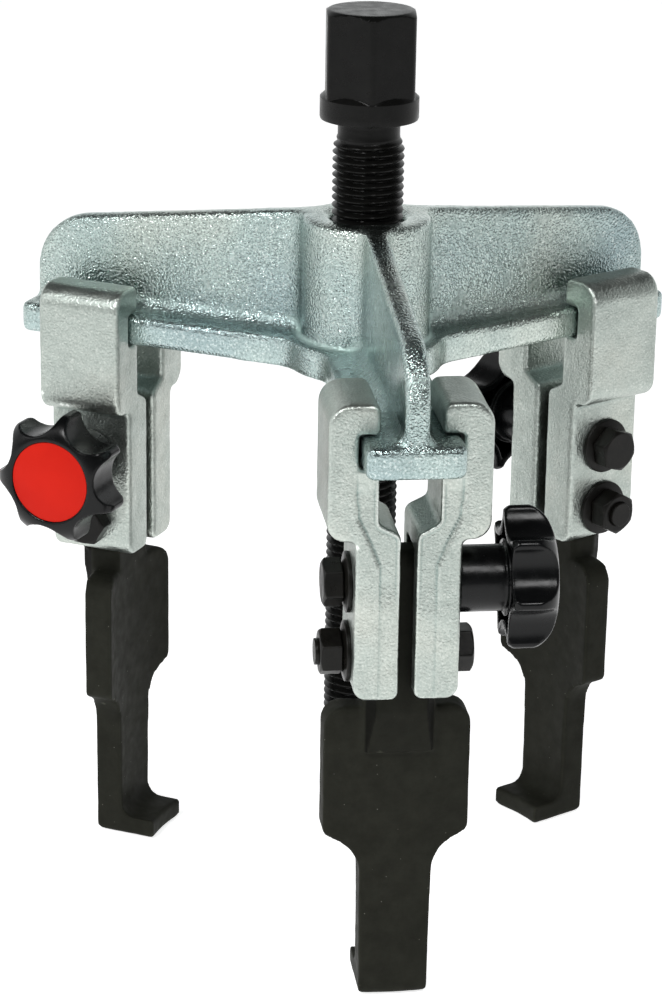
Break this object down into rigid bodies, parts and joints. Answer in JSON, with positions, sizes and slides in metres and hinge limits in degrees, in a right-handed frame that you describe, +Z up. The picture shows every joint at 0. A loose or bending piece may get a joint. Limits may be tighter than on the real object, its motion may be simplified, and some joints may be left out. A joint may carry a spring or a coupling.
{
  "type": "gear puller",
  "caption": "Gear puller: a forged crossbeam whose arms carry sliding slim jaws, clamped by star knobs, and a hexagon-headed forcing screw through its hub.",
  "frame": {"origin": "centre of the flat tip of the forcing screw's pressure point", "axes": "+Z up along the forcing screw, away from the work; the front arm points along -Y, the right arm to +X and 30 degrees back"},
  "size_m": [0.1386, 0.1291, 0.1799],
  "materials": {
    "zinc_plated_forging": "bright zinc plate over an orange-peel forged skin, faint blue-green tint",
    "zinc_plated_clamp": "satin zinc plate over a fine shot-blasted skin",
    "black_oxide_screw": "oiled black oxide, satin",
    "black_jaw_steel": "satin black phosphate over forged steel",
    "black_oxide_fastener": "satin black oxide",
    "black_plastic": "glossy moulded thermoplastic",
    "red_plastic": "semi-gloss moulded thermoplastic",
    "bright_steel": "turned and hardened steel"
  },
  "bodies": {
    "crossbeam": {"crossbeam": "zinc_plated_forging"},
    "pressure_point": {"pressure_point": "bright_steel", "thrust_ball": "bright_steel"},
    "spindle": {"spindle": "black_oxide_screw"},
    "front_leg": {"front_clamp_half_knob_side": "zinc_plated_clamp", "front_clamp_half_bolt_side": "zinc_plated_clamp", "front_jaw": "black_jaw_steel", "front_clamp_bolt": "black_oxide_fastener", "front_clamp_bolt_washer": "black_oxide_fastener", "front_jaw_bolt": "black_oxide_fastener", "front_jaw_bolt_washer": "black_oxide_fastener", "front_jaw_bolt_nut": "black_oxide_fastener"},
    "front_knob_body": {"front_knob": "black_plastic", "front_knob_cap": "red_plastic", "front_knob_insert": "bright_steel"},
    "right_leg": {"right_clamp_half_knob_side": "zinc_plated_clamp", "right_clamp_half_bolt_side": "zinc_plated_clamp", "right_jaw": "black_jaw_steel", "right_clamp_bolt": "black_oxide_fastener", "right_clamp_bolt_washer": "black_oxide_fastener", "right_jaw_bolt": "black_oxide_fastener", "right_jaw_bolt_washer": "black_oxide_fastener", "right_jaw_bolt_nut": "black_oxide_fastener"},
    "right_knob_body": {"right_knob": "black_plastic", "right_knob_cap": "red_plastic", "right_knob_insert": "bright_steel"},
    "left_leg": {"left_clamp_half_knob_side": "zinc_plated_clamp", "left_clamp_half_bolt_side": "zinc_plated_clamp", "left_jaw": "black_jaw_steel", "left_clamp_bolt": "black_oxide_fastener", "left_clamp_bolt_washer": "black_oxide_fastener", "left_jaw_bolt": "black_oxide_fastener", "left_jaw_bolt_washer": "black_oxide_fastener", "left_jaw_bolt_nut": "black_oxide_fastener"},
    "left_knob_body": {"left_knob": "black_plastic", "left_knob_cap": "red_plastic", "left_knob_insert": "bright_steel"}
  },
  "joints": [
    {"name": "screw_travel", "type": "slide", "parent": "crossbeam", "child": "pressure_point", "axis": [0, 0, 1], "range_m": [-0.017, 0.06]},
    {"name": "screw_turn", "type": "hinge", "parent": "pressure_point", "child": "spindle", "pos_m": [0, 0, 0], "axis": [0, 0, 1], "range_deg": [-4080.5, 14400.5]},
    {"name": "front_leg_slide", "type": "slide", "parent": "crossbeam", "child": "front_leg", "axis": [0, -1, 0], "range_m": [-0.024, 0.006]},
    {"name": "front_knob_turn", "type": "hinge", "parent": "front_leg", "child": "front_knob_body", "pos_m": [0, -0.056, 0.066], "axis": [1, 0, 0], "range_deg": [0, 720]},
    {"name": "right_leg_slide", "type": "slide", "parent": "crossbeam", "child": "right_leg", "axis": [0.866, 0.5, 0], "range_m": [-0.024, 0.006]},
    {"name": "right_knob_turn", "type": "hinge", "parent": "right_leg", "child": "right_knob_body", "pos_m": [0.0485, 0.028, 0.066], "axis": [-0.5, 0.866, 0], "range_deg": [0, 720]},
    {"name": "left_leg_slide", "type": "slide", "parent": "crossbeam", "child": "left_leg", "axis": [-0.866, 0.5, 0], "range_m": [-0.024, 0.006]},
    {"name": "left_knob_turn", "type": "hinge", "parent": "left_leg", "child": "left_knob_body", "pos_m": [-0.0485, 0.028, 0.066], "axis": [-0.5, -0.866, 0], "range_deg": [0, 720]}
  ],
  "couplings": [
    {"joint": "screw_turn", "follows": "screw_travel", "rad_per_m": 4188.8}
  ]
}
